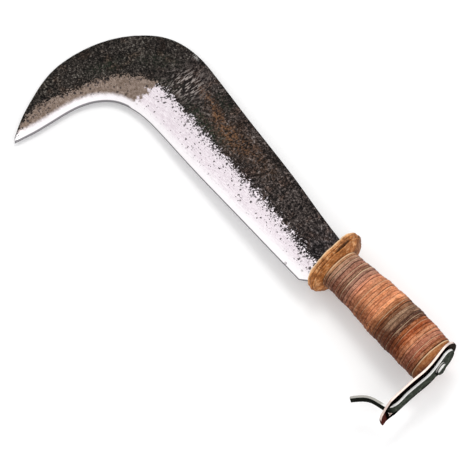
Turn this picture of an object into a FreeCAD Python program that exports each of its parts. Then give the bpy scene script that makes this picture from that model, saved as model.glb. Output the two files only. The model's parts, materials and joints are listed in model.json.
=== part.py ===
import FreeCAD, Part
import math
import os

V = FreeCAD.Vector
os.makedirs("parts", exist_ok=True)

# Frame: X runs along the grip, pommel towards +X and blade towards -X.
# The blade lies in the XY plane, spine towards +Y, cutting edge towards -Y.
# The origin is where the grip axis meets the guard's front face. Millimetres.

# ---- driving dimensions ----
BLADE_T = 4.6            # thickness at the spine
EDGE_T = 0.5             # thickness left at the cutting edge
LEAN = 3.0               # lean of the threaded stack about Z, degrees
TANG_W0 = 18.0           # tang width at the shoulder
TANG_W1 = 7.0            # tang width at the pommel
TANG_T = 5.0             # tang thickness
TANG_GAP = 0.15          # gap between tang and each slot
GUARD_A = 28.1           # guard half width along Y
GUARD_B = 22.5           # guard half height along Z
GUARD_T = (3.5, 2.5, 1.7)
GUARD_SHIFT = -0.2       # guard centre along Y, from the grip axis
COLLAR_T = 3.2
COLLAR_Y = -1.5          # collar centre along Y
WASHERS = 31
CAP_X = 113.0            # front plane of the domed end piece
PLATE_T = 2.0            # thickness of both belt-hook strips
PLATE_W = 24.0           # width of the base plate
STRIP_W = 10.4           # width of the hook strip's bar
FINGER_TIP_W = 7.6
BURR_R = 5.6
BURR_T = 1.2
HEAD_R = 4.9
HEAD_H = 2.4

# outlines as (x, y)
SPINE = [(-0.8, 13.6), (-38.5, 18.1), (-68.3, 22.5), (-138.8, 30.3), (-190.0, 36.4),
         (-206.0, 37.7), (-220.5, 37.0), (-235.5, 33.5), (-248.8, 26.7), (-260.8, 15.8),
         (-270.3, 3.6), (-277.0, -8.7), (-281.8, -22.6), (-284.8, -37.5), (-285.3, -52.5),
         (-282.6, -67.0), (-276.4, -83.5), (-269.4, -98.5), (-258.6, -115.2)]
EDGE = [(1.6, -30.4), (-45.0, -30.1), (-87.0, -29.7), (-145.0, -29.1), (-182.6, -27.9),
        (-200.9, -28.3), (-214.9, -30.8), (-225.4, -34.9), (-234.0, -41.9), (-240.9, -51.9),
        (-245.3, -63.6), (-247.8, -77.4), (-250.8, -98.1), (-255.4, -117.6)]
BEVEL = [(-28.3, -10.8), (-61.0, -7.6), (-100.0, -6.2), (-151.0, -3.8),
         (-190.0, -1.6), (-212.0, -1.2), (-224.9, -3.6), (-234.9, -9.7), (-246.7, -23.6),
         (-253.9, -37.9), (-259.2, -53.1), (-265.0, -70.0), (-268.3, -84.0),
         (-266.6, -98.5)]
SHOULDER_FLAT = 0.6      # share of the shoulder that is flat, the rest is bevel
TIP_FLAT = 0.3           # share of the blunt tip that is flat
# grip station: x, half width, half thickness, centre shift along Y
GRIP = [(8.0, 16.7, 11.3, -1.2), (20.0, 17.6, 11.4, -0.6), (32.0, 18.0, 11.5, 0.0),
        (44.0, 18.8, 11.8, 0.6), (60.0, 20.2, 12.2, 0.4), (78.0, 20.5, 12.4, 0.5),
        (95.0, 20.3, 12.3, 0.5), (108.0, 20.1, 12.2, 0.0), (122.0, 19.6, 12.0, -0.4)]
# outer face of the base plate, spine side first
PLATE = [(118.6, 22.0), (119.2, 13.0), (121.0, 4.5), (122.9, -4.0), (123.9, -12.0),
         (123.9, -22.0), (124.3, -36.0), (125.2, -49.0), (126.7, -57.0), (129.4, -62.6)]
# inner face of the free part of the hook strip, from the bar to the finger tip
FINGER = [(124.9, -43.0), (124.6, -46.2), (123.0, -49.0), (120.0, -50.4), (115.4, -51.6),
          (110.1, -53.0), (104.9, -55.7), (100.6, -59.9), (96.4, -65.4)]


def interp(table, x):
    """Straight-line value of each column of a table at x."""
    if x <= table[0][0]:
        return table[0][1:]
    for lo, hi in zip(table, table[1:]):
        if x <= hi[0]:
            f = (x - lo[0]) / (hi[0] - lo[0])
            return tuple(a + f * (b - a) for a, b in zip(lo[1:], hi[1:]))
    return table[-1][1:]


def spline(points):
    curve = Part.BSplineCurve()
    curve.interpolate(points)
    return curve


def edge_at(points, z):
    return spline([V(x, y, z) for x, y in points]).toShape()


def line(a, b):
    return Part.LineSegment(a, b).toShape()


def end(edge, last):
    return edge.valueAt(edge.LastParameter if last else edge.FirstParameter)


def save(shape, name):
    shape.exportStep("parts/" + name + ".step")


def one_solid(shape):
    return max(shape.Solids, key=lambda s: s.Volume)


def tang_half(x):
    f = max(0.0, min(1.0, x / 120.0))
    return 0.5 * (TANG_W0 + f * (TANG_W1 - TANG_W0))


def box(x0, x1, y0, y1, z0, z1):
    return Part.makeBox(x1 - x0, y1 - y0, z1 - z0, V(x0, y0, z0))


def tang_slot(x0, x1):
    half = tang_half(x0 - 1.0) + TANG_GAP
    z = 0.5 * TANG_T + TANG_GAP
    return box(x0 - 3.0, x1 + 3.0, -half, half, -z, z)


# ---- blade: flats, bevels and walls sewn into one solid ----
def blade_plate():
    share = ((0, SHOULDER_FLAT), (-1, TIP_FLAT))
    ends = [tuple(a + f * (b - a) for a, b in zip(SPINE[k], EDGE[k])) for k, f in share]
    boundary = [ends[0]] + BEVEL + [ends[1]]
    h = 0.5 * BLADE_T
    e = 0.5 * EDGE_T
    spine = [edge_at(SPINE, s * h) for s in (1, -1)]
    bevel = [edge_at(boundary, s * h) for s in (1, -1)]
    edge = [edge_at(EDGE, s * e) for s in (1, -1)]
    faces = []
    for s in (0, 1):
        rim = [spine[s], line(end(spine[s], True), end(bevel[s], True)), bevel[s],
               line(end(bevel[s], False), end(spine[s], False))]
        faces.append(Part.Face(Part.Wire(Part.__sortEdges__(rim))))
        faces.append(Part.makeRuledSurface(bevel[s], edge[s]))
    faces.append(Part.makeRuledSurface(spine[0], spine[1]))
    faces.append(Part.makeRuledSurface(edge[0], edge[1]))
    for last in (False, True):
        ring = [end(spine[0], last), end(bevel[0], last), end(edge[0], last),
                end(edge[1], last), end(bevel[1], last), end(spine[1], last)]
        faces.append(Part.Face(Part.makePolygon(ring + ring[:1])))
    shell = Part.makeShell(faces)
    shell.sewShape()
    solid = Part.Solid(shell)
    if solid.Volume < 0:
        solid.reverse()
    corner = Part.makePolygon([V(-7.5, -32.0, -9), V(9.0, -32.0, -9), V(9.0, -16.0, -9),
                               V(-7.5, -32.0, -9)])
    return solid.cut(Part.Face(corner).extrude(V(0, 0, 18)))


def strip_face(inner, thickness, samples):
    """Face between a smooth path in XY and the same path pushed out along its normal."""
    path = spline([V(x, y, 0) for x, y in inner])
    first, last = path.FirstParameter, path.LastParameter
    side = []
    for i in range(samples):
        u = first + (last - first) * i / (samples - 1)
        t = path.tangent(u)[0]
        side.append(path.value(u) + V(-t.y, t.x, 0) * thickness)
    outer = spline(side)
    a, b = path.toShape(), outer.toShape()
    ring = [a, line(end(a, True), end(b, True)), b, line(end(b, False), end(a, False))]
    return Part.Face(Part.Wire(Part.__sortEdges__(ring)))


def plate_path(offset):
    """Base-plate outer face pushed outwards by offset, as (x, y) points."""
    path = spline([V(x, y, 0) for x, y in PLATE])
    out = []
    for i in range(13):
        u = path.FirstParameter + (path.LastParameter - path.FirstParameter) * i / 12.0
        t = path.tangent(u)[0]
        p = path.value(u) + V(-t.y, t.x, 0) * offset
        out.append((p.x, p.y))
    return out


def oval_face(a, b, cy, side_ratio):
    """Four-arc oval in the YZ plane, flatter at top and bottom."""
    r = side_ratio * b
    big = ((a - r) ** 2 + b * b - r * r) / (2.0 * (b - r))
    dy, dz = (a - r) / (big - r), (big - b) / (big - r)
    ty, tz = (a - r) + r * dy, r * dz
    pts = [V(0, cy + a, 0), V(0, cy + ty, tz), V(0, cy, b), V(0, cy - ty, tz), V(0, cy - a, 0),
           V(0, cy - ty, -tz), V(0, cy, -b), V(0, cy + ty, -tz)]
    arcs = [Part.Arc(pts[7], pts[0], pts[1]), Part.Arc(pts[1], pts[2], pts[3]),
            Part.Arc(pts[3], pts[4], pts[5]), Part.Arc(pts[5], pts[6], pts[7])]
    return Part.Face(Part.Wire([arc.toShape() for arc in arcs]))


def disc(x0, t, a, b, cy, side_ratio, round_r):
    """Threaded leather piece with rounded rims, leaning with the stack."""
    body = oval_face(a, b, cy, side_ratio).extrude(V(t, 0, 0))
    body = body.makeFillet(round_r, body.Edges)
    body.translate(V(x0, 0, 0))
    body.rotate(V(x0, 0, 0), V(0, 0, 1), LEAN)
    return body


# ---- threaded leather stack ----
x = 0.0
guard_scale = (0.985, 1.0, 0.955)
for i, t in enumerate(GUARD_T):
    body = disc(x, t, GUARD_A * guard_scale[i], GUARD_B * guard_scale[i],
                GUARD_SHIFT, 0.93, 0.36 * t)
    save(one_solid(body.cut(tang_slot(x, x + t))), "guard_disc_%d" % (i + 1))
    x += t
a, b, cy = interp(GRIP, x)
body = disc(x, COLLAR_T, a + 0.2, b + 0.9, COLLAR_Y, 0.75, 0.5)
save(one_solid(body.cut(tang_slot(x, x + COLLAR_T))), "collar")
x += COLLAR_T
weights = [1.0 + 0.24 * math.sin(2.3 * i) * math.cos(0.9 * i + 0.6) for i in range(WASHERS)]
scale = (CAP_X - x) / sum(weights)
for i, w in enumerate(weights):
    t = w * scale
    a, b, cy = interp(GRIP, x + 0.5 * t)
    swell = 0.16 * math.sin(5.1 * i + 1.0)
    body = disc(x, t, a + swell, b + swell, cy, 0.75, 0.35)
    save(one_solid(body.cut(tang_slot(x, x + t))), "grip_washer_%02d" % (i + 1))
    x += t

# domed end piece, its end following the base plate's inner face
a, b, cy = interp(GRIP, 114.0)
body = oval_face(a, b, cy, 0.75).extrude(V(20.0, 0, 0))
body.translate(V(CAP_X, 0, 0))
body.rotate(V(CAP_X, 0, 0), V(0, 0, 1), LEAN)
seat = plate_path(-PLATE_T - 0.05)
seat = [p for p in seat if -15.0 < p[1] < 12.0]
dome = [V(112.2, 20.6, 0), V(115.0, 17.6, 0)] + [V(px, py, 0) for px, py in seat]
dome += [V(119.2, -19.0, 0), V(114.0, -21.8, 0)]
rim = spline(dome).toShape()
corners = [end(rim, True), V(114.0, -30, 0), V(90, -30, 0), V(90, 30, 0), V(112.2, 30, 0),
           end(rim, False)]
ring = [rim] + [line(p, q) for p, q in zip(corners, corners[1:])]
keep = Part.Face(Part.Wire(Part.__sortEdges__(ring)))
keep.translate(V(0, 0, -20))
body = body.common(keep.extrude(V(0, 0, 40)))
save(one_solid(body.cut(tang_slot(CAP_X, 130.0))), "end_cap")

# ---- belt-hook base plate ----
half_w = 0.5 * PLATE_W
plate = strip_face(plate_path(-PLATE_T), PLATE_T, 13)
plate.translate(V(0, 0, -20))
plate = plate.extrude(V(0, 0, 40))
top_y = 21.4
low_y = -61.6
tongue_y = -47.0
tongue_w = 7.0
p = [V(0, top_y - half_w, half_w), V(0, top_y, 0), V(0, top_y - half_w, -half_w),
     V(0, tongue_y, -half_w), V(0, low_y + 4.5, -tongue_w), V(0, low_y, -tongue_w + 4.5),
     V(0, low_y, tongue_w - 4.5), V(0, low_y + 4.5, tongue_w), V(0, tongue_y, half_w)]
m = [V(0, low_y + 1.3, -tongue_w + 1.3), V(0, low_y + 1.3, tongue_w - 1.3)]
ring = [Part.Arc(p[0], p[1], p[2]).toShape(), line(p[2], p[3]), line(p[3], p[4]),
        Part.Arc(p[4], m[0], p[5]).toShape(), line(p[5], p[6]),
        Part.Arc(p[6], m[1], p[7]).toShape(), line(p[7], p[8]), line(p[8], p[0])]
front = Part.Face(Part.Wire(ring))
front.translate(V(100, 0, 0))
plate = plate.common(front.extrude(V(50, 0, 0)))
window = box(100, 150, -52.2, -47.6, -0.5 * STRIP_W - 0.4, 0.5 * STRIP_W + 0.4)
plate = plate.cut(window).cut(tang_slot(121.0, 130.0))
save(one_solid(plate), "hook_base_plate")

# ---- belt-hook strip: bar on the plate, bend through the window, finger ----
bar = [q for q in plate_path(0.05) if -40.0 < q[1] < 30.0]
strip = strip_face(bar + FINGER[1:], PLATE_T, 41)
strip.translate(V(0, 0, -20))
strip = strip.extrude(V(0, 0, 40))
s = 0.5 * STRIP_W
p = [V(0, 7.0, 6.8), V(0, 17.3, -2.2), V(0, 7.0, -11.2)]
neck = [V(0, -9.0, s), V(0, -80.0, s), V(0, -80.0, -s), V(0, -9.0, -s)]
ring = [Part.Arc(p[0], p[1], p[2]).toShape(), line(p[2], neck[3]), line(neck[3], neck[2]),
        line(neck[2], neck[1]), line(neck[1], neck[0]), line(neck[0], p[0])]
front = Part.Face(Part.Wire(ring))
front.translate(V(90, 0, 0))
strip = strip.common(front.extrude(V(60, 0, 0)))
f = 0.5 * FINGER_TIP_W
q = [V(140, 0, 20), V(119, 0, 20), V(119, 0, s), V(98.4, 0, f), V(94.8, 0, 0),
     V(98.4, 0, -f), V(119, 0, -s), V(119, 0, -20), V(140, 0, -20)]
ring = [line(q[0], q[1]), line(q[1], q[2]), line(q[2], q[3]),
        Part.Arc(q[3], q[4], q[5]).toShape(), line(q[5], q[6]), line(q[6], q[7]),
        line(q[7], q[8]), line(q[8], q[0])]
side = Part.Face(Part.Wire(ring))
side.translate(V(0, -80, 0))
strip = strip.common(side.extrude(V(0, 140, 0)))
save(one_solid(strip.cut(tang_slot(121.0, 130.0))), "hook_strip")

# ---- peened end: burr washer and head, square to the strip's outer face ----
path = spline([V(px, py, 0) for px, py in plate_path(PLATE_T + 0.1)])
u = path.parameter(V(124.6, 0, 0))
t = path.tangent(u)[0]
seat = path.value(u)
normal = V(-t.y, t.x, 0)
burr = Part.makeCylinder(BURR_R, BURR_T, seat, normal)
burr = burr.cut(tang_slot(121.0, 132.0))
save(one_solid(burr), "burr_washer")

# ---- blade with tang and peened head, one forging ----
t0, t1 = 0.5 * TANG_W0, 0.5 * TANG_W1
far = seat.x + BURR_T + 0.6
tang = Part.makePolygon([V(-6, -t0, 0), V(0, -t0, 0), V(120, -t1, 0), V(far, -t1, 0),
                         V(far, t1, 0), V(120, t1, 0), V(0, t0, 0), V(-6, t0, 0),
                         V(-6, -t0, 0)])
tang = Part.Face(tang)
tang.translate(V(0, 0, -0.5 * TANG_T))
tang = tang.extrude(V(0, 0, TANG_T))
head_at = seat + normal * (BURR_T + 0.05)
head = Part.makeCylinder(HEAD_R, HEAD_H, head_at, normal)
head = head.makeFillet(1.5, [e for e in head.Edges if e.CenterOfMass.x > head_at.x + 1.2])
blade = blade_plate().fuse([tang, head]).removeSplitter()
save(one_solid(blade), "blade")
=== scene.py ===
import json
import math
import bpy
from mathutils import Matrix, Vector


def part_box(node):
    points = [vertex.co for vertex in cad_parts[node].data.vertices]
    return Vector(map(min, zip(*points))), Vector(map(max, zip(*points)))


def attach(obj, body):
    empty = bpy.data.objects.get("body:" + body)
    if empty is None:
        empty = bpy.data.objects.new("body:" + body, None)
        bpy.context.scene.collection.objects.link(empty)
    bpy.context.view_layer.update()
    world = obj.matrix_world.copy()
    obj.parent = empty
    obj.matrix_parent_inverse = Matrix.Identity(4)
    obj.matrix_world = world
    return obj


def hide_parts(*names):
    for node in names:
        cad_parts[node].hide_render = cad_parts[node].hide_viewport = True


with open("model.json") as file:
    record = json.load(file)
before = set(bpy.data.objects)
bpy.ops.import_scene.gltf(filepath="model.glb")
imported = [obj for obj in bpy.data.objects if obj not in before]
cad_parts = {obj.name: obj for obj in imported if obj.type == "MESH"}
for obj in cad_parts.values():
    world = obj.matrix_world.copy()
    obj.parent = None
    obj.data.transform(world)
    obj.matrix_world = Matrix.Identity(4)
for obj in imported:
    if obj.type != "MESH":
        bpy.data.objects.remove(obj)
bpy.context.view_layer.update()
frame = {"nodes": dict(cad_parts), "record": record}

from types import SimpleNamespace

import bpy
import numpy as np
from mathutils import Matrix, Vector, noise

MM = 0.001

# ---------------------------------------------------------------- mesh helpers


def natural_spline(points):
    """Smooth curve through points, as a function of 0..1 along its length."""
    pts = np.array(points, float)
    t = np.concatenate([[0.0], np.cumsum(np.linalg.norm(np.diff(pts, axis=0), axis=1))])
    t /= t[-1]
    n = len(pts)
    h = np.diff(t)
    a = np.zeros((n, n))
    rhs = np.zeros((n, pts.shape[1]))
    a[0, 0] = a[-1, -1] = 1.0
    for i in range(1, n - 1):
        a[i, i - 1], a[i, i], a[i, i + 1] = h[i - 1], 2.0 * (h[i - 1] + h[i]), h[i]
        rhs[i] = 6.0 * ((pts[i + 1] - pts[i]) / h[i] - (pts[i] - pts[i - 1]) / h[i - 1])
    m = np.linalg.solve(a, rhs)

    def at(u):
        u = min(max(u, 0.0), 1.0)
        i = min(max(int(np.searchsorted(t, u)) - 1, 0), n - 2)
        p, q, w = t[i + 1] - u, u - t[i], h[i]
        return (m[i] * p ** 3 + m[i + 1] * q ** 3) / (6 * w) + \
            (pts[i] / w - m[i] * w / 6) * p + (pts[i + 1] / w - m[i + 1] * w / 6) * q
    return at


def interp(table, x):
    """Straight-line value of each further column of a table at x in its first column."""
    xs = [row[0] for row in table]
    return [float(np.interp(x, xs, [row[k] for row in table])) for k in range(1, len(table[0]))]


def smooth(lo, hi, x):
    """0 at lo and before it, 1 at hi and past it, with a soft S between."""
    f = min(max((x - lo) / (hi - lo), 0.0), 1.0)
    return f * f * (3.0 - 2.0 * f)


def fractal(x, y, z, octaves=3):
    """Fractal noise, about -1..1, at a place that is already scaled."""
    return noise.fractal(Vector((x, y, z)), 0.9, 2.1, octaves, noise_basis="PERLIN_ORIGINAL")


def build(name, verts_mm, faces, material, slot, floats=None, colors=None):
    """Mesh piece from millimetre points, with its point attributes, riding on the body."""
    mesh = bpy.data.meshes.new(name)
    mesh.from_pydata([tuple(c * MM for c in v) for v in verts_mm], [], faces)
    for key, values in (floats or {}).items():
        layer = mesh.attributes.new(key, "FLOAT", "POINT")
        layer.data.foreach_set("value", [float(v) for v in values])
    for key, values in (colors or {}).items():
        layer = mesh.attributes.new(key, "FLOAT_COLOR", "POINT")
        layer.data.foreach_set("color", [c for v in values for c in (*v, 1.0)])
    mesh.polygons.foreach_set("use_smooth", [True] * len(mesh.polygons))
    mesh.update()
    obj = bpy.data.objects.new(name, mesh)
    bpy.context.scene.collection.objects.link(obj)
    mesh.materials.append(material)
    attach(obj, "root")
    return obj


def tube_faces(rings, count):
    """Quads between closed rings of count points each; both ends stay open."""
    faces = []
    for i in range(rings - 1):
        for j in range(count):
            k = (j + 1) % count
            faces.append((i * count + j, i * count + k, (i + 1) * count + k, (i + 1) * count + j))
    return faces


# ------------------------------------------------------------ material helpers


class Nodes:
    """Short ways to add shader nodes to one material."""

    def __init__(self, name):
        self.mat = bpy.data.materials.new(name)
        self.mat.use_nodes = True
        self.tree = self.mat.node_tree
        self.bsdf = self.tree.nodes["Principled BSDF"]
        coord = self.tree.nodes.new("ShaderNodeTexCoord")
        self.place = coord.outputs["Object"]

    def put(self, socket, value):
        if isinstance(value, bpy.types.NodeSocket):
            self.tree.links.new(value, socket)
        elif socket.type == "RGBA" and len(value) == 3:
            socket.default_value = (*value, 1.0)
        else:
            socket.default_value = value

    def shader(self, **values):
        for key, value in values.items():
            self.put(self.bsdf.inputs[key.replace("_", " ")], value)

    def math(self, op, a, b=None, c=None):
        node = self.tree.nodes.new("ShaderNodeMath")
        node.operation = op
        for socket, value in zip(node.inputs, (a, b, c)):
            if value is not None:
                self.put(socket, value)
        return node.outputs[0]

    def noise(self, scale, detail=3.0, rough=0.55, stretch=None):
        node = self.tree.nodes.new("ShaderNodeTexNoise")
        self.put(node.inputs["Vector"], self.stretched(stretch))
        node.inputs["Scale"].default_value = scale
        node.inputs["Detail"].default_value = detail
        node.inputs["Roughness"].default_value = rough
        return node.outputs["Fac"]

    def stretched(self, stretch):
        """The object's own coordinates, scaled and turned if stretch says so."""
        if stretch is None:
            return self.place
        node = self.tree.nodes.new("ShaderNodeMapping")
        self.put(node.inputs["Vector"], self.place)
        node.inputs["Scale"].default_value = stretch[0]
        node.inputs["Rotation"].default_value = stretch[1]
        return node.outputs[0]

    def cells(self, scale):
        node = self.tree.nodes.new("ShaderNodeTexVoronoi")
        self.put(node.inputs["Vector"], self.place)
        node.inputs["Scale"].default_value = scale
        return node.outputs["Distance"]

    def step(self, value, lo, hi, out_lo=0.0, out_hi=1.0):
        node = self.tree.nodes.new("ShaderNodeMapRange")
        node.interpolation_type = "SMOOTHSTEP"
        for socket, item in zip(node.inputs[:5], (value, lo, hi, out_lo, out_hi)):
            self.put(socket, item)
        return node.outputs[0]

    def ramp(self, value, stops):
        node = self.tree.nodes.new("ShaderNodeValToRGB")
        self.put(node.inputs[0], value)
        band = node.color_ramp
        while len(band.elements) < len(stops):
            band.elements.new(0.5)
        for element, (pos, color) in zip(band.elements, stops):
            element.position = pos
            element.color = (*color, 1.0)
        return node.outputs["Color"]

    def mix(self, fac, a, b, blend="MIX"):
        node = self.tree.nodes.new("ShaderNodeMix")
        node.data_type = "RGBA"
        node.blend_type = blend
        node.clamp_factor = True
        for socket, value in ((node.inputs[0], fac), (node.inputs[6], a), (node.inputs[7], b)):
            self.put(socket, value)
        return node.outputs[2]

    def layer(self, color, paint, texture, lo, hi, share, mask=None):
        """Lay paint over color as texture goes from lo to hi, up to share, within mask."""
        amount = self.step(texture, lo, hi, 0.0, share)
        if mask is not None:
            amount = self.math("MULTIPLY", mask, amount)
        return self.mix(amount, color, paint)

    def tinted(self, color, tint):
        return self.mix(1.0, color, tint, "MULTIPLY")

    def attribute(self, name, output="Fac"):
        node = self.tree.nodes.new("ShaderNodeAttribute")
        node.attribute_name = name
        return node.outputs[output]

    def bump(self, height, distance, strength):
        node = self.tree.nodes.new("ShaderNodeBump")
        node.inputs["Distance"].default_value = distance
        node.inputs["Strength"].default_value = strength
        self.put(node.inputs["Height"], height)
        return node.outputs[0]


# ------------------------------------------------------------------- materials


def blade_textures(g):
    """Distances and noises that the layers of the blade share."""
    split = g.tree.nodes.new("ShaderNodeSeparateXYZ")
    g.put(split.inputs[0], g.place)
    from_guard = g.math("MULTIPLY", split.outputs["X"], -1.0 / MM)
    wobble = g.noise(330.0, 2.0, 0.5)
    speck = g.noise(760.0, 2.0, 0.75)
    grain = g.noise(800.0, 3.0, 0.6, ((0.25, 2.6, 1.0), (0, 0, 0.35)))
    edge = g.attribute("edge_mm")
    return SimpleNamespace(
        bev=g.attribute("bev_mm"),
        edge=edge,
        from_guard=from_guard,
        broad=g.noise(55.0, 3.0, 0.55),
        wobble=wobble,
        coarse=g.noise(400.0, 3.0, 0.75),
        speck=speck,
        fine=g.noise(1700.0, 2.0, 0.7),
        grain=grain,
        in_beak=g.step(g.math("MULTIPLY_ADD", wobble, 16.0, from_guard), 222.5, 226.5),
        strip=g.step(g.math("MULTIPLY_ADD", wobble, 3.0, edge), 11.6, 6.8))


def ground_share(g, t):
    """Dithered line between scale and ground steel, softer in the beak."""
    shift = g.math("MULTIPLY_ADD", t.wobble, 16.0, -8.0)
    shift = g.math("ADD", shift, g.math("MULTIPLY_ADD", t.speck, 26.0, -13.0))
    shift = g.math("ADD", shift, g.math("MULTIPLY_ADD", t.fine, 12.0, -6.0))
    shift = g.math("MULTIPLY", shift, g.math("MULTIPLY_ADD", t.in_beak, -0.35, 1.0))
    return g.step(g.math("ADD", t.bev, shift), -0.9, 1.1)


def scale_color(g, t):
    """Forge scale: black ground, grey specks, patches of browner, greener and bluer tone."""
    mottle = g.math("MULTIPLY_ADD", t.coarse, 0.45, g.math("MULTIPLY", t.speck, 0.55))
    mottle = g.math("ADD", mottle, g.math("MULTIPLY_ADD", t.broad, 0.16, -0.08))
    scale = g.ramp(mottle, [(0.40, (0.0020, 0.0016, 0.0016)), (0.465, (0.0090, 0.0070, 0.0066)),
                            (0.525, (0.035, 0.027, 0.0245)), (0.585, (0.105, 0.084, 0.077)),
                            (0.66, (0.260, 0.230, 0.217))])
    scale = g.layer(scale, (0.20, 0.172, 0.160), t.fine, 0.60, 0.70, 0.50)
    scale = g.layer(scale, (0.0022, 0.0018, 0.0018), t.fine, 0.42, 0.32, 0.60)
    brown = g.noise(90.0, 3.0, 0.6)
    scale = g.layer(scale, g.tinted(scale, (1.35, 0.98, 0.78)), brown, 0.50, 0.66, 0.5)
    beak_end = g.math("MULTIPLY_ADD", t.broad, 60.0, t.from_guard)
    scale = g.layer(scale, g.tinted(scale, (0.60, 0.68, 0.60)), beak_end, 225.0, 265.0, 0.6)
    guard_end = g.math("MULTIPLY_ADD", t.broad, 40.0, t.from_guard)
    return g.layer(scale, g.tinted(scale, (0.95, 1.08, 1.25)), guard_end, 62.0, 30.0, 0.7)


def rusted(g, t, scale):
    """Rust streaks with a little green beside them."""
    grit = g.noise(420.0, 3.0, 0.7)
    scale = g.layer(scale, (0.018, 0.030, 0.017), grit, 0.58, 0.40, 0.75, g.attribute("moss"))
    amount = g.math("MULTIPLY", g.attribute("rust"), g.step(grit, 0.42, 0.60, 0.06, 0.85))
    flake = g.mix(g.step(t.speck, 0.35, 0.65), (0.022, 0.011, 0.006), (0.23, 0.115, 0.055))
    return g.mix(amount, scale, flake)


def tooled(g, t, scale):
    """Crossing tool marks near the bend, and bare flakes on the spine."""
    marks_a = g.noise(340.0, 1.0, 0.4, ((2.4, 0.55, 1.0), (0, 0, 0.85)))
    marks_b = g.noise(330.0, 1.0, 0.4, ((2.4, 0.55, 1.0), (0, 0, -0.70)))
    marks = g.math("MAXIMUM", g.step(marks_a, 0.60, 0.65), g.step(marks_b, 0.57, 0.62))
    worked = g.attribute("marks")
    scale = g.mix(g.math("MULTIPLY", worked, 0.50), scale, (0.006, 0.005, 0.005))
    scale = g.mix(g.math("MULTIPLY", g.math("MULTIPLY", marks, worked), 0.85), scale,
                  (0.34, 0.295, 0.275))
    flaked = g.math("MULTIPLY", g.attribute("chip"), g.step(t.speck, 0.44, 0.52))
    return g.mix(flaked, scale, (0.62, 0.60, 0.58))


def steel_color(g, t):
    """Ground steel: bright bevel, brighter along the edge, duller first grind in the beak."""
    tone = g.math("MULTIPLY_ADD", t.grain, 0.6, g.math("MULTIPLY", t.speck, 0.4))
    bright = g.ramp(tone, [(0.36, (0.620, 0.540, 0.590)), (0.50, (0.760, 0.690, 0.735)),
                           (0.62, (0.870, 0.815, 0.850))])
    bright = g.layer(bright, (0.90, 0.885, 0.895), t.edge, 13.0, 3.0, 0.75)
    dull = g.ramp(g.math("MULTIPLY_ADD", t.coarse, 0.5, g.math("MULTIPLY", tone, 0.5)),
                  [(0.36, (0.100, 0.070, 0.052)), (0.50, (0.215, 0.162, 0.132)),
                   (0.63, (0.360, 0.290, 0.250))])
    dull_on = g.math("MULTIPLY", t.in_beak, g.math("SUBTRACT", 1.0, t.strip))
    return g.mix(dull_on, bright, dull)


def pit_mask(g, t):
    """Pits, crowding towards the scale line and the heel."""
    crowd = g.math("MAXIMUM", g.step(t.bev, 17.0, 0.0, 0.0, 0.17),
                   g.step(t.from_guard, 30.0, 6.0, 0.0, 0.20))
    many = g.step(g.math("ADD", g.noise(520.0, 1.0, 0.4), crowd), 0.60, 0.64)
    dots = g.math("MAXIMUM", g.step(g.cells(430.0), 0.36, 0.22),
                  g.step(g.cells(250.0), 0.34, 0.26))
    pits = g.math("MULTIPLY", g.math("MULTIPLY", many, dots),
                  g.math("SUBTRACT", 1.0, t.strip))
    heel = g.math("MULTIPLY", g.step(t.from_guard, 30.0, 18.0),
                  g.step(g.cells(150.0), 0.25, 0.17))
    return g.math("MAXIMUM", pits, heel)


def blade_material():
    """Forge scale on the flats and spine, ground steel on the bevel, pits between."""
    g = Nodes("blade_steel_surface")
    t = blade_textures(g)
    ground = ground_share(g, t)
    scale = tooled(g, t, rusted(g, t, scale_color(g, t)))
    pits = pit_mask(g, t)
    steel = g.mix(g.math("MULTIPLY", pits, 0.9), steel_color(g, t), (0.040, 0.032, 0.034))
    # painted shade: the narrow honed edge is painted dark, as if it turned away from the light
    edge_shade_to = g.math("MULTIPLY_ADD", t.in_beak, -0.9, t.edge)
    steel = g.layer(steel, (0.10, 0.095, 0.105), edge_shade_to, 1.15, 0.60, 0.85)
    color = g.mix(ground, scale, steel)
    bare = g.math("MULTIPLY", ground, g.math("MULTIPLY_ADD", pits, -0.8, 0.92))
    dark = g.math("SUBTRACT", 1.0, ground)
    rough = g.math("MULTIPLY_ADD", t.grain, 0.16, g.math("MULTIPLY_ADD", dark, 0.22, 0.34))
    height = g.math("MULTIPLY", g.math("ADD", t.coarse, t.speck), dark)
    height = g.math("MULTIPLY_ADD", pits, -0.8, height)
    height = g.math("MULTIPLY_ADD", ground, 0.45, height)
    height = g.math("MULTIPLY_ADD", t.grain, 0.08, height)
    g.shader(Base_Color=color, Metallic=bare, Roughness=rough, Specular_IOR_Level=0.06,
             Normal=g.bump(height, 0.00025, 0.7))
    return g.mat


FIBRE_TURN = (0, 0, -0.052)     # leather fibres follow the stack's lean, radians


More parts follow.
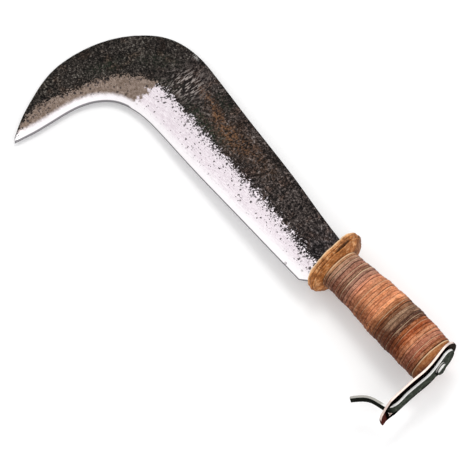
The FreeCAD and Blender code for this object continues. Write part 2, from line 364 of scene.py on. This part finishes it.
def leather_material():
    """Cut leather edges: each piece's own tint, fibre lines, pale lips with a painted highlight,
    mottled painted shade and painted shade in the seams.
    """
    g = Nodes("leather_edge")
    tint = g.attribute("tint", "Color")
    hide = g.attribute("hide")
    fibre = g.noise(520.0, 3.0, 0.70, ((1.7, 0.26, 0.26), FIBRE_TURN))
    hair = g.noise(1500.0, 2.0, 0.6, ((2.2, 0.22, 0.22), FIBRE_TURN))
    mottle = g.noise(170.0, 4.0, 0.65)
    speck = g.noise(850.0, 2.0, 0.7)
    blotch = g.noise(240.0, 4.0, 0.75)
    dark = g.tinted(tint, (0.34, 0.24, 0.20))
    light = g.mix(0.42, tint, (0.80, 0.50, 0.32))
    lined = g.math("MULTIPLY_ADD", hide, -0.75, 1.0)
    layers = ((dark, mottle, 0.56, 0.38, 0.32, None), (light, mottle, 0.50, 0.68, 0.25, None),
              (dark, fibre, 0.52, 0.62, 0.68, lined), (light, fibre, 0.46, 0.37, 0.70, lined),
              (dark, hair, 0.57, 0.68, 0.60, lined), (light, hair, 0.40, 0.30, 0.40, lined),
              (dark, speck, 0.56, 0.66, 0.70, None), (light, speck, 0.42, 0.32, 0.55, None),
              ((0.80, 0.46, 0.22), blotch, 0.51, 0.62, 0.60, hide),
              ((0.22, 0.080, 0.022), blotch, 0.49, 0.38, 0.80, hide))
    color = tint
    for paint, texture, lo, hi, share, mask in layers:
        color = g.layer(color, paint, texture, lo, hi, share, mask)
    # pale lips on the pieces, and a painted highlight on the guard's upper front rim
    color = g.mix(g.attribute("lip_and_highlight"), color, (0.94, 0.70, 0.44))
    # painted shade: dark brown laid on by the per-point shade values, broken up by noise
    mottled_shade = g.math("MULTIPLY", g.attribute("painted_shade"),
                   g.step(g.noise(420.0, 3.0, 0.65), 0.30, 0.62, 0.55, 1.0))
    color = g.mix(mottled_shade, color, (0.080, 0.017, 0.0045))
    # painted shade: near black in the seams between pieces
    color = g.mix(g.attribute("seam_shade"), color, (0.022, 0.0075, 0.004))
    rough = g.math("MULTIPLY_ADD", mottle, 0.28, 0.40)
    height = g.math("MULTIPLY_ADD", speck, 0.4, g.math("ADD", fibre, hair))
    height = g.math("MULTIPLY_ADD", mottle, 0.8, height)
    g.shader(Base_Color=color, Roughness=rough, Specular_IOR_Level=0.10,
             Normal=g.bump(height, 0.00022, 0.8))
    return g.mat


def hook_material():
    """Plated strip: cut edges bright from wear and a painted highlight, faces darkened by tarnish
    and a painted dark reflection.
    """
    g = Nodes("hook_steel_surface")
    geo = g.tree.nodes.new("ShaderNodeNewGeometry")
    split = g.tree.nodes.new("ShaderNodeSeparateXYZ")
    g.put(split.inputs[0], geo.outputs["Normal"])
    side = g.math("ABSOLUTE", split.outputs["Z"])
    tarnish = g.attribute("tarnish")
    patch = g.noise(300.0, 3.0, 0.6)
    lines = g.noise(700.0, 3.0, 0.6, ((2.4, 0.3, 1.0), (0, 0, 0)))
    fine = g.noise(1900.0, 2.0, 0.6)
    # painted highlight and wear: surfaces facing up or down, the cut edges, are painted bright
    worn_and_lit = g.step(g.math("MULTIPLY_ADD", patch, 0.24, side), 0.40, 0.70)
    uneven = g.math("MULTIPLY_ADD", g.math("ADD", lines, patch), -0.40, 0.40)
    # painted dark reflection and tarnish: the faces run from grey to near black
    depth = g.math("ADD", tarnish, uneven)
    face = g.ramp(depth, [(0.0, (0.420, 0.415, 0.390)), (0.28, (0.120, 0.135, 0.105)),
                          (0.55, (0.036, 0.042, 0.032)), (0.80, (0.010, 0.011, 0.009)),
                          (1.0, (0.0015, 0.0009, 0.0008))])
    # dark red-brown on the tongue, and a faint painted reflection of the leather on the plate's
    # upper end
    face = g.mix(g.attribute("stain"), face, (0.085, 0.022, 0.017))
    wear = g.attribute("wear")
    warm = g.attribute("warm")
    # painted highlight: the edges' bright colour, pinker where warm
    bright = g.mix(wear, (0.20, 0.19, 0.16), (0.98, 0.97, 0.95))
    bright = g.mix(warm, bright, (0.76, 0.62, 0.56))
    bright = g.layer(bright, (0.42, 0.33, 0.28), lines, 0.58, 0.72, 0.25)
    color = g.mix(worn_and_lit, face, bright)
    spots = g.math("MULTIPLY", g.step(fine, 0.64, 0.74, 0.0, 0.40), g.step(depth, 0.95, 0.60))
    color = g.mix(spots, color, (0.060, 0.040, 0.032))
    polish = g.math("MULTIPLY", worn_and_lit, g.math("MULTIPLY_ADD", warm, 0.7, 0.15))
    metal = g.math("MAXIMUM", polish, g.step(depth, 0.60, 0.25, 0.0, 0.9))
    rough = g.math("MULTIPLY_ADD", patch, 0.22, 0.34)
    height = g.math("MULTIPLY_ADD", fine, 0.3, lines)
    g.shader(Base_Color=color, Metallic=metal, Roughness=rough, Specular_IOR_Level=0.0,
             Normal=g.bump(height, 0.00008, 0.5))
    return g.mat


STEEL = blade_material()
LEATHER = leather_material()
PLATED = hook_material()

# ----------------------------------------------------------------------- blade

# millimetres in the object's own frame
HALF_T = 2.3             # half thickness at the guard
EDGE_HALF = 0.25         # half thickness left at the cutting edge
ROUND_R = 0.9            # rounding of the spine's arrises
SPINE = [(-0.8, 13.6), (-38.5, 18.1), (-68.3, 22.5), (-138.8, 30.3), (-190.0, 36.4),
         (-206.0, 37.7), (-220.5, 37.0), (-235.5, 33.5), (-248.8, 26.7), (-260.8, 15.8),
         (-270.3, 3.6), (-277.0, -8.7), (-281.8, -22.6), (-284.8, -37.5), (-285.3, -52.5),
         (-282.6, -67.0), (-276.4, -83.5), (-269.4, -98.5), (-258.6, -115.2)]
EDGE = [(1.6, -30.4), (-45.0, -30.1), (-87.0, -29.7), (-145.0, -29.1), (-182.6, -27.9),
        (-200.9, -28.3), (-214.9, -30.8), (-225.4, -34.9), (-234.0, -41.9), (-240.9, -51.9),
        (-245.3, -63.6), (-247.8, -77.4), (-250.8, -98.1), (-255.4, -117.6)]
BEVEL = [(0.64, -12.8), (-28.3, -10.8), (-61.0, -7.6), (-100.0, -6.2), (-151.0, -3.8),
         (-190.0, -1.6), (-212.0, -1.2), (-224.9, -3.6), (-234.9, -9.7), (-246.7, -23.6),
         (-253.9, -37.9), (-259.2, -53.1), (-265.0, -70.0), (-268.3, -84.0),
         (-266.6, -98.5), (-257.64, -115.92)]
HEEL = ((-6.4, -30.35), (1.3, -24.4))     # cut corner where the edge meets the guard
# patches: centre x and y, half length, half width, direction in degrees, strength
BLOTS = {"rust": [(-183, 19, 14, 3.6, -6, 0.7), (-158, 14, 16, 3.8, -20, 1.0),
                  (-138, 11, 16, 7.5, -10, 1.0), (-118, 14, 14, 7.0, 0, 0.55),
                  (-95, 12, 12, 7.0, 0, 0.30)],
         "moss": [(-172, 3, 16, 6.0, -10, 0.9), (-148, 2, 14, 6.0, 0, 0.8),
                  (-205, 6, 14, 6.0, 20, 0.7), (-165, 26, 12, 4.0, -8, 0.6),
                  (-232, 12, 16, 6.0, 35, 0.6), (-258, -22, 16, 5.0, 65, 0.7)],
         "marks": [(-199, 15, 12, 10.0, 0, 1.6)],
         "chip": [(-213.5, 36.0, 2.8, 0.8, -6, 1.3)]}


def blot(x, y, cx, cy, length, width, turn, strength):
    """Strength at a place of one soft oval patch."""
    c, s = math.cos(math.radians(turn)), math.sin(math.radians(turn))
    u, v = ((x - cx) * c + (y - cy) * s) / length, ((y - cy) * c - (x - cx) * s) / width
    return strength * math.exp(-u * u - v * v)


def heel_cut(b, e):
    """Edge point moved onto the cut heel corner, and how much of the bevel that takes away."""
    (x0, y0), (x1, y1) = HEEL
    if e[0] <= x0:
        return e, 0.0
    f = (e[0] - x0) / (x1 - x0)
    moved = np.array([e[0], y0 + min(f, 1.0) * (y1 - y0)])
    return moved, np.linalg.norm(moved - e) / np.linalg.norm(b - e)


def half_section(s, b, e, half, edge_half, flat_n=30, bevel_n=22):
    """Points from the middle of the spine wall over flat and bevel to the cutting edge.

    Each point has its place, its height, its distance past the bevel line and its distance
    from the edge.
    """
    width_b = float(np.linalg.norm(e - b))
    width_s = float(np.linalg.norm(s - b))
    across = width_b + width_s
    points = [(s, 0.0, -width_s, across)]
    for k in range(1, 5):
        a = 0.5 * math.pi * (k / 4.0)
        p = s + (b - s) / width_s * ROUND_R * (1.0 - math.sin(a))
        z = half - ROUND_R * (1.0 - math.cos(0.5 * math.pi - a)) * 0.7
        points.append((p, z, -width_s, across))
    for k in range(1, flat_n + 1):
        f = k / flat_n
        f = (ROUND_R + f * (width_s - ROUND_R)) / width_s
        points.append((s + (b - s) * f, half, -width_s * (1.0 - f),
                       width_b + width_s * (1.0 - f)))
    for k in range(1, bevel_n + 1):
        f = k / bevel_n
        hollow = 0.16 * math.sin(math.pi * f)
        z = half + (edge_half - half) * f - hollow
        points.append((b + (e - b) * f, z, width_b * f, width_b * (1.0 - f)))
    return points


def forged(x, y, z, past_bevel, side):
    """Height of a point after forging waves and hammer dents, which are deepest on the flat."""
    wave = fractal(x / 17.0, y / 17.0, side * 3.1, 3)
    dents = fractal(x / 4.2, y / 4.2, side * 7.7, 2)
    on_flat = smooth(1.5, -1.5, past_bevel)
    drop = on_flat * (0.20 + 0.20 * wave + 0.13 * dents) + 0.02
    drop += (1.0 - on_flat) * 0.04 * (1.0 + wave)
    return max(z - drop, 0.2)


def blade_piece(rings=340):
    """Blade from guard to beak, as rings round its section."""
    spine, bevel, edge = natural_spline(SPINE), natural_spline(BEVEL), natural_spline(EDGE)
    verts, past, from_edge = [], [], []
    marks = {name: [] for name in BLOTS}
    for n in range(rings):
        u = n / (rings - 1)
        s, b = spine(u), bevel(u)
        e, cut = heel_cut(b, edge(u))
        half = HALF_T * (1.0 - 0.20 * smooth(0.15, 0.95, u))
        points = half_section(s, b, e, half, EDGE_HALF + cut * (half - EDGE_HALF))
        pull = (s - e) / points[0][3]
        for side, part in ((1.0, points), (-1.0, points[:0:-1])):
            for p, z, past_bevel, to_edge in part:
                x, y = float(p[0]), float(p[1])
                if z > 0.0:
                    z = forged(x, y, z, past_bevel, side)
                nick = 0.22 * fractal(x / 3.0, y / 3.0, 1.5, 2) * smooth(2.0, 0.0, to_edge)
                x += pull[0] * abs(nick)
                y += pull[1] * abs(nick)
                verts.append((x, y, side * z))
                past.append(past_bevel)
                from_edge.append(to_edge)
                for name, blots in BLOTS.items():
                    marks[name].append(min(1.0, sum(blot(x, y, *b) for b in blots)))
    count = len(verts) // rings
    faces = tube_faces(rings, count)
    faces.append(tuple(range(count))[::-1])
    faces.append(tuple((rings - 1) * count + j for j in range(count)))
    return build("blade_body", verts, faces, STEEL, "blade_steel",
                 {"bev_mm": past, "edge_mm": from_edge, **marks})


blade = blade_piece()

# ------------------------------------------------------------- threaded leather

LEAN = math.radians(3.0)        # lean of the stack against the blade
DEEPEST_SHADE_STRETCH = (64.0, 90.0)            # stretch of the grip where the painted shade is strongest, mm
DARK_SEAM_STRETCHES = ((0.0, 32.0), (64.0, 85.0))    # stretches with darker painted shade in the seams, mm
PALE_LIPS_TO = 33.0             # every other piece up to here has a pale lip, mm
GUARD_TINTS = ((0.57, 0.245, 0.085), (0.44, 0.155, 0.038), (0.48, 0.175, 0.046))
COLLAR_TINT = (0.52, 0.26, 0.135)
CAP_TINT = (0.36, 0.125, 0.034)
# grip colour by place along the grip in millimetres: x, red, green, blue
TINTS = [(11, .48, .26, .16), (15, .42, .25, .18), (18, .36, .155, .10),
         (22, .42, .19, .13), (25, .33, .16, .095), (28, .22, .10, .070),
         (31, .56, .30, .21), (35, .80, .31, .185), (40, .69, .275, .135), (52, .72, .27, .12),
         (59, .77, .29, .135), (64, .62, .26, .115), (67, .32, .105, .036),
         (71, .20, .080, .036), (74, .20, .105, .055), (76, .40, .26, .17), (78, .16, .085, .050),
         (80, .095, .042, .026), (85, .075, .020, .009), (88, .34, .090, .024),
         (92, .42, .090, .022), (95, .44, .120, .038), (98, .66, .25, .115),
         (103, .55, .215, .130), (107, .42, .115, .058), (111, .33, .10, .036),
         (114, .38, .14, .045)]


def leaned(x, y, z):
    """A point of the stack's own frame, turned by its lean."""
    return (x * math.cos(LEAN) - y * math.sin(LEAN), x * math.sin(LEAN) + y * math.cos(LEAN), z)


def measured(node):
    """Front plane, thickness, half width, half height and centre of a leaning piece, in mm."""
    co = np.array([tuple(v.co) for v in frame["nodes"][node].data.vertices]) / MM
    along = co[:, 0] * math.cos(LEAN) + co[:, 1] * math.sin(LEAN)
    across = co[:, 1] * math.cos(LEAN) - co[:, 0] * math.sin(LEAN)
    return (along.min(), along.max() - along.min(), 0.5 * (across.max() - across.min()),
            co[:, 2].max(), 0.5 * (across.max() + across.min()))


def oval(a, b, cy, angle, power=2.1):
    """Point of a slightly squared oval with half width a and half height b."""
    c, s = math.cos(angle), math.sin(angle)
    y = a * math.copysign(abs(c) ** (2.0 / power), c)
    z = b * math.copysign(abs(s) ** (2.0 / power), s)
    return cy + y, z


def seam_wave(i, angle):
    """How far the seam behind piece i wanders along the grip, round the grip."""
    c, s = math.cos(angle), math.sin(angle)
    return 0.24 * math.cos(angle + 2.1 * i) + 0.42 * fractal(1.6 * c, 1.6 * s, 2.3 * i, 3)


def shade_round_grip(angle):
    """Painted shade by place round the grip: heaviest low on the edge side, a narrow band on the
    spine side and more underneath.
    """
    c, s = math.cos(angle), math.sin(angle)
    return min(0.95, 0.88 * smooth(0.18, 0.94, -c) + 0.50 * smooth(0.86, 1.0, c) +
               0.35 * smooth(0.2, 1.0, -s))


def ring_mesh(rows, around):
    """Closed ring from rows[j] = points of one section, joined all round."""
    count = len(rows[0])
    faces = []
    for j in range(around):
        k = (j + 1) % around
        for i in range(count):
            n = (i + 1) % count
            faces.append((j * count + i, j * count + n, k * count + n, k * count + i))
    return [p for row in rows for p in row], faces


def washer(name, node, slot, tint, i, proud, groove, seam_shade, lip_and_highlight, lip_to=0.30, hide=0.0):
    """One punched leather piece: uneven rim, rounded into the seams on both sides."""
    around, steps = 200, 11
    x0, t, a, b, cy = measured(node)
    deeper_shade = 1.5 if DEEPEST_SHADE_STRETCH[0] < x0 < DEEPEST_SHADE_STRETCH[1] else 1.0
    rows, seam_shades, painted_shade, lips_and_highlights, tints = [], [], [], [], []
    for j in range(around):
        angle = 2.0 * math.pi * j / around
        c, s = math.cos(angle), math.sin(angle)
        front = seam_wave(i - 1, angle) if i > 0 else 0.0
        back = seam_wave(i, angle) if i < WASHERS - 1 else 0.0
        lump = 0.14 * fractal(1.7 * c, 1.7 * s, 3.7 * i, 2)
        tone = 1.0 + 0.22 * fractal(2.2 * c, 2.2 * s, 1.9 * i + 5.0, 2)
        row = []
        for k in range(-1, steps + 1):
            f = min(max(k / (steps - 1.0), 0.0), 1.0)
            inner = k in (-1, steps)
            near = min(f, 1.0 - f)
            rim = groove * (1.0 - smooth(0.0, 0.24, near)) - 0.14 * (1 - (2 * f - 1) ** 2)
            rim -= proud + lump + 0.10 * fractal(8 * c, 8 * s, 3.7 * i + 1.3 * f, 3)
            share = 0.3 if inner else 1.0
            y, z = oval((a - rim) * share, (b - rim) * share, cy, angle)
            row.append(leaned(x0 + front + f * (t + back - front), y, z))
            # painted shade in the seams at both faces
            seam_shades.append(0.0 if inner else seam_shade * (1.0 - smooth(0.0, 0.16, near)))
            lips_and_highlights.append(lip_and_highlight * smooth(lip_to, 0.5 * lip_to, f) * smooth(0.0, 0.08, f))
            # painted shade round the grip, half as strong again in its darkest stretch
            painted_shade.append(min(0.95, shade_round_grip(angle) * deeper_shade))
            tints.append(tuple(min(1.0, v * tone) for v in tint))
        rows.append(row)
    verts, faces = ring_mesh(rows, around)
    obj = build(name, verts, faces, LEATHER, slot,
                {"seam_shade": seam_shades, "painted_shade": painted_shade, "lip_and_highlight": lips_and_highlights, "hide": [hide] * len(verts)},
                {"tint": tints})
    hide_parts(node)


def disc_section():
    """Section of a guard disc: share of the radius and of the thickness, front to back."""
    front = [(0.34, 0.0), (0.55, 0.0), (0.68, 0.0), (0.80, 0.0), (0.90, 0.0), (0.965, 0.02)]
    rim = [(1.0 - 0.030 * (2 * f - 1) ** 2, 0.06 + 0.88 * f)
           for f in (k / 8.0 for k in range(9))]
    return front + rim + [(r, 1.0 - f) for r, f in front[::-1]]


def guard_disc(i):
    """Thick leather disc, cupped towards the blade and split from its neighbour near the top."""
    around = 260
    node = "guard_disc_%d" % (i + 1)
    x0, t, a, b, cy = measured(node)
    a, b = a - 0.5, b - 0.5
    section = disc_section()
    rows, seam_shades, painted_shade, lips_and_highlights, tints = [], [], [], [], []
    for j in range(around):
        angle = 2.0 * math.pi * j / around
        c, s = math.cos(angle), math.sin(angle)
        turn = (angle + math.pi) % (2.0 * math.pi) - math.pi
        cup = 0.7 + 2.7 * smooth(0.10, 1.0, c) + 0.5 * smooth(0.3, 1.0, -c)
        split = smooth(0.36, 0.22, abs(turn - 1.22))
        opening = (-0.15, -0.20, 0.25)[i] * split
        lump = 0.75 * fractal(1.9 * c, 1.9 * s, 4.4 + 0.8 * i, 3)
        ripple = 0.5 * fractal(2.6 * c, 2.6 * s, 9.0, 2)
        nibble = 0.30 * fractal(9 * c, 9 * s, 3.1 * i, 3)
        tone = 1.0 + 0.30 * fractal(2.5 * c, 2.5 * s, 2.0 * i + 11.0, 3)
        # painted shade: darker on the spine side's limb and underneath
        shade = 0.70 * smooth(0.86, 1.0, c) + 0.30 * smooth(0.3, 1.0, -s)
        row = []
        for r, f in section:
            far = smooth(0.60, 1.0, r)
            out = far * (lump + nibble)
            y, z = oval(a * r + out, b * r + out, cy, angle)
            x = x0 + f * t * (1.0 - 0.04 * far) - far ** 1.5 * (cup - ripple) + far * opening
            row.append(leaned(x, y, z))
            rim = smooth(0.94, 0.985, r)
            near = min(f, 1.0 - f) if i > 0 else 1.0 - f
            in_split = (i == 1 and f > 0.5) or (i == 2 and f < 0.5)
            # painted shade at the rims between discs and in the split
            seam_shades.append(rim * 0.55 * (1.0 - smooth(0.05, 0.17, near)) +
                         (0.62 * split * far if in_split else 0.0))
            # painted shade, deeper towards the middle of the disc
            painted_shade.append(min(0.9, shade + 0.42 * smooth(0.72, 0.60, r)))
            # painted highlight: pale front rim of the first disc, on its upper side only
            lips_and_highlights.append(0.8 * rim * smooth(0.6, 0.15, f) * smooth(-0.3, 0.4, s) if i == 0 else 0.0)
            tints.append(tuple(min(1.0, v * tone) for v in GUARD_TINTS[i]))
        rows.append(row)
    verts, faces = ring_mesh(rows, around)
    obj = build("guard_leather_%d" % (i + 1), verts, faces, LEATHER, "leather_tan",
                {"seam_shade": seam_shades, "painted_shade": painted_shade, "lip_and_highlight": lips_and_highlights, "hide": [1.0] * len(verts)},
                {"tint": tints})
    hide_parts(node)


def grip_washer(i, slots):
    """One of the grip's pieces, each a little different from its neighbours."""
    node = "grip_washer_%02d" % (i + 1)
    x0, t = measured(node)[:2]
    tone = 1.0 + 0.20 * math.sin(4.3 * i + 0.4) * math.cos(1.7 * i)
    tint = tuple(c * tone for c in interp(TINTS, x0 + 0.5 * t))
    deeper = 0.30 if any(lo < x0 < hi for lo, hi in DARK_SEAM_STRETCHES) else 0.0
    pale = 0.8 if x0 < PALE_LIPS_TO and i % 2 else 0.0
    washer("grip_leather_%02d" % (i + 1), node, slots[node], tint, i,
           proud=0.10 * math.sin(5.1 * i + 1.0) + 0.08 * math.sin(2.7 * i),
           groove=0.28 + 0.16 * math.sin(3.3 * i),
           seam_shade=min(0.95, 0.50 + 0.36 * math.sin(1.9 * i + 0.8) + deeper),
           lip_and_highlight=max(0.60 * max(0.0, math.sin(2.6 * i + 1.2)) ** 2, pale))


WASHERS = sum(1 for node in frame["nodes"] if node.startswith("grip_washer_"))
for i in range(len(GUARD_TINTS)):
    guard_disc(i)
washer("collar_leather", "collar", "leather_tan", COLLAR_TINT, 0, proud=0.2, groove=0.6,
       seam_shade=0.8, lip_and_highlight=1.0, lip_to=0.6, hide=0.3)
slots = {part["node"]: part["material_slot"] for part in frame["record"]["subparts"]}
for i in range(WASHERS):
    grip_washer(i, slots)


def refined(node, name, material, voxel, rounds, shake, scale):
    """A node's solid as a fine even mesh with softened arrises and slight unevenness."""
    source = frame["nodes"][node]
    temp = bpy.data.objects.new("temp", source.data.copy())
    bpy.context.scene.collection.objects.link(temp)
    weld = temp.modifiers.new("weld", "WELD")
    weld.merge_threshold = 0.00001
    remesh = temp.modifiers.new("remesh", "REMESH")
    remesh.mode = "VOXEL"
    remesh.voxel_size = voxel
    even = temp.modifiers.new("even", "SMOOTH")
    even.factor = 0.5
    even.iterations = rounds
    bpy.context.view_layer.update()
    depsgraph = bpy.context.evaluated_depsgraph_get()
    mesh = bpy.data.meshes.new_from_object(temp.evaluated_get(depsgraph))
    bpy.data.objects.remove(temp)
    n = len(mesh.vertices)
    co = np.zeros(n * 3)
    no = np.zeros(n * 3)
    mesh.vertices.foreach_get("co", co)
    mesh.vertices.foreach_get("normal", no)
    co, no = co.reshape(-1, 3), no.reshape(-1, 3)
    push = np.array([fractal(*(p * scale), 3) for p in co]) * shake - shake
    co += no * push[:, None]
    mesh.vertices.foreach_set("co", co.ravel())
    mesh.polygons.foreach_set("use_smooth", [True] * len(mesh.polygons))
    mesh.materials.clear()
    mesh.materials.append(material)
    mesh.name = name
    obj = bpy.data.objects.new(name, mesh)
    bpy.context.scene.collection.objects.link(obj)
    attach(obj, "root")
    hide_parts(node)
    return obj, co


def end_leather():
    """Domed end piece, with painted shade in its seam, a pale lip, and painted shade on the edge
    side and towards the steel plate.
    """
    cap, co = refined("end_cap", "end_leather", LEATHER, 0.0005, 4, 0.00012, 260.0)
    depth = co[:, 0] * math.cos(LEAN) + co[:, 1] * math.sin(LEAN)
    depth -= depth.min()
    low = np.clip((-co[:, 1] - 0.003) / 0.012, 0.0, 1.0)
    # painted shade: the seam, the edge side and the part towards the steel plate are darker
    values = {"seam_shade": 0.7 * np.clip(1.0 - depth / 0.0005, 0.0, 1.0),
              "lip_and_highlight": 0.9 * np.clip(1.0 - np.abs(depth - 0.0009) / 0.0006, 0.0, 1.0),
              "painted_shade": 0.70 * low + 0.40 * np.clip((depth - 0.004) / 0.003, 0.0, 1.0),
              "hide": np.full(len(co), 0.35)}
    for key, numbers in values.items():
        cap.data.attributes.new(key, "FLOAT", "POINT").data.foreach_set("value", numbers)
    layer = cap.data.attributes.new("tint", "FLOAT_COLOR", "POINT")
    layer.data.foreach_set("color", np.tile(np.array([*CAP_TINT, 1.0]), len(co)))


end_leather()

# -------------------------------------------------------------------- belt hook


def finished(obj, **fields):
    """Store each named finish value of a steel piece, painted highlight and dark reflection among
    them, from a function of its points.
    """
    for key in ("tarnish", "stain", "wear", "warm"):
        rule = fields.get(key, lambda x, y, z: 0.0)
        data = obj.data.attributes.new(key, "FLOAT", "POINT").data
        data.foreach_set("value", [rule(*v.co) for v in obj.data.vertices])


def always(value):
    return lambda x, y, z: value


# painted dark reflection and tarnish on the plate: near black, less so at its upper end
def plate_tarnish(x, y, z):
    return 1.2 - 0.45 * smooth(0.010, 0.018, y)


# dark red-brown on the tongue's face, and a faint painted brown reflection of the leather at the
# plate's upper end
def plate_stain(x, y, z):
    return 0.75 * smooth(-0.0545, -0.0565, y) + 0.10 * smooth(0.012, 0.017, y)


# painted dark reflection and tarnish on the strip, darker towards its -Y end
def bar_tarnish(x, y, z):
    return 0.56 + 0.25 * smooth(-0.046, -0.052, y)


# painted highlight and wear on the strip's edges, duller below x = 117 mm
def bar_wear(x, y, z):
    return 1.0 - 0.75 * smooth(0.121, 0.117, x)


# painted light on every steel piece: dark reflection on its faces, highlight on its edges
plate, _ = refined("hook_base_plate", "hook_plate", PLATED, 0.00027, 2, 0.00003, 180.0)
finished(plate, tarnish=plate_tarnish, stain=plate_stain, wear=always(1.0), warm=always(1.0))
bar, _ = refined("hook_strip", "hook_bar", PLATED, 0.00022, 1, 0.00002, 180.0)
finished(bar, tarnish=bar_tarnish, wear=bar_wear)
burr, _ = refined("burr_washer", "rivet_burr", PLATED, 0.00022, 3, 0.00004, 900.0)
finished(burr, tarnish=always(0.85), wear=always(0.3))

AXIS = Vector((0.97603, 0.21762, 0.0))     # square to the strip under the peened head
BURR_T = 1.2                               # burr washer's thickness, mm
burr_lo, burr_hi = (Vector(corner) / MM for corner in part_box("burr_washer"))
SEAT = 0.5 * (burr_lo + burr_hi) - 0.5 * BURR_T * AXIS


def peened_head():
    """Mushroomed tang end with hammer flats, standing on the burr washer."""
    profile = [(0.0, 0.0), (0.05, 4.3), (0.35, 4.75), (0.8, 4.9), (1.3, 4.7), (1.75, 4.1),
               (2.1, 3.2), (2.3, 2.1), (2.36, 1.0), (2.38, 0.0)]      # height and radius
    across = Vector((-AXIS.y, AXIS.x, 0.0))
    up = Vector((0, 0, 1))
    around = 96
    verts = []
    for h, r in profile:
        for j in range(around):
            angle = 2.0 * math.pi * j / around
            c, s = math.cos(angle), math.sin(angle)
            lump = 1.0 + 0.055 * fractal(c * 1.5, s * 1.5, 4.0, 3)
            flat = 0.22 * fractal(c * r * 0.55, s * r * 0.55, 9.0, 2) * min(1.0, h)
            p = SEAT + AXIS * (BURR_T + 0.02 + h - abs(flat))
            p = p + across * (r * lump * c) + up * (r * lump * s)
            verts.append(tuple(p))
    return build("rivet_head", verts, tube_faces(len(profile), around), PLATED, "hook_steel")


head = peened_head()
finished(head, tarnish=always(0.55), wear=always(0.75))
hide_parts("blade")
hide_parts("blade")

# --------------------------------------------------------- floor, light, camera

scene = bpy.context.scene

# the two resting places in the XZ plane, mm: the guard's low rim and the blade's tip
REST_X, REST_Z = 4.0, -22.8
REST_TIP_X, REST_TIP_Z = -284.0, -2.4
FLOOR_HALF = 6000.0      # half length of the floor's side, mm
FLOOR_GLOW = 0.11
SKY_STRENGTH = 0.92


def floor_piece():
    """Flat pale floor under both resting places."""
    grade = (REST_TIP_Z - REST_Z) / (REST_TIP_X - REST_X)
    verts = [(sx * FLOOR_HALF, sy * FLOOR_HALF, REST_Z + grade * (sx * FLOOR_HALF - REST_X))
             for sx, sy in ((-1, -1), (1, -1), (1, 1), (-1, 1))]
    mesh = bpy.data.meshes.new("floor")
    mesh.from_pydata([tuple(c * MM for c in v) for v in verts], [], [(0, 1, 2, 3)])
    obj = bpy.data.objects.new("floor", mesh)
    scene.collection.objects.link(obj)
    g = Nodes("floor_paper")
    tone = g.ramp(g.noise(3.0, 2.0), [(0.3, (0.90, 0.90, 0.905)), (0.7, (0.92, 0.92, 0.92))])
    g.shader(Base_Color=tone, Roughness=0.9, Specular_IOR_Level=0.1,
             Emission_Color=(1.0, 1.0, 1.0), Emission_Strength=FLOOR_GLOW)
    mesh.materials.append(g.mat)


def studio_world():
    """Even white surroundings."""
    world = bpy.data.worlds.new("studio")
    world.use_nodes = True
    background = world.node_tree.nodes["Background"]
    background.inputs["Color"].default_value = (1.0, 1.0, 1.0, 1.0)
    background.inputs["Strength"].default_value = SKY_STRENGTH
    scene.world = world


def area_light(name, place, aim, size, power, color):
    """Round lamp at a place in metres, aimed at a point, with its width and its watts."""
    data = bpy.data.lights.new(name, "AREA")
    data.shape = "DISK"
    data.size = size
    data.energy = power
    data.color = color
    obj = bpy.data.objects.new(name, data)
    obj.location = place
    obj.rotation_euler = (Vector(aim) - Vector(place)).to_track_quat("-Z", "Y").to_euler()
    scene.collection.objects.link(obj)


EYE = Vector((1.074, -0.52, 2.33697))
AIM = Vector((-0.07021, -0.04150, 0.0))
CAMERA_ROLL = math.radians(-18.8445)
CAMERA_LENS = 262.04


def camera_piece():
    """Long lens from above the cutting edge, rolled so that the blade runs up to the left."""
    data = bpy.data.cameras.new("camera")
    data.lens = CAMERA_LENS
    data.sensor_width = 36.0
    data.clip_end = 50.0
    obj = bpy.data.objects.new("camera", data)
    facing = (AIM - EYE).to_track_quat("-Z", "Y").to_matrix()
    turned = facing @ Matrix.Rotation(CAMERA_ROLL, 3, "Z")
    obj.matrix_world = Matrix.Translation(EYE) @ turned.to_4x4()
    scene.collection.objects.link(obj)
    scene.camera = obj


floor_piece()
studio_world()
area_light("key", (-0.25, 0.55, 1.55), (-0.05, 0.0, 0.0), 0.6, 6.0, (1.0, 0.985, 0.965))
area_light("fill", (1.2, 0.6, 1.0), (0.05, 0.0, 0.0), 0.9, 3.0, (0.95, 0.97, 1.0))
camera_piece()
scene.view_settings.view_transform = "Standard"
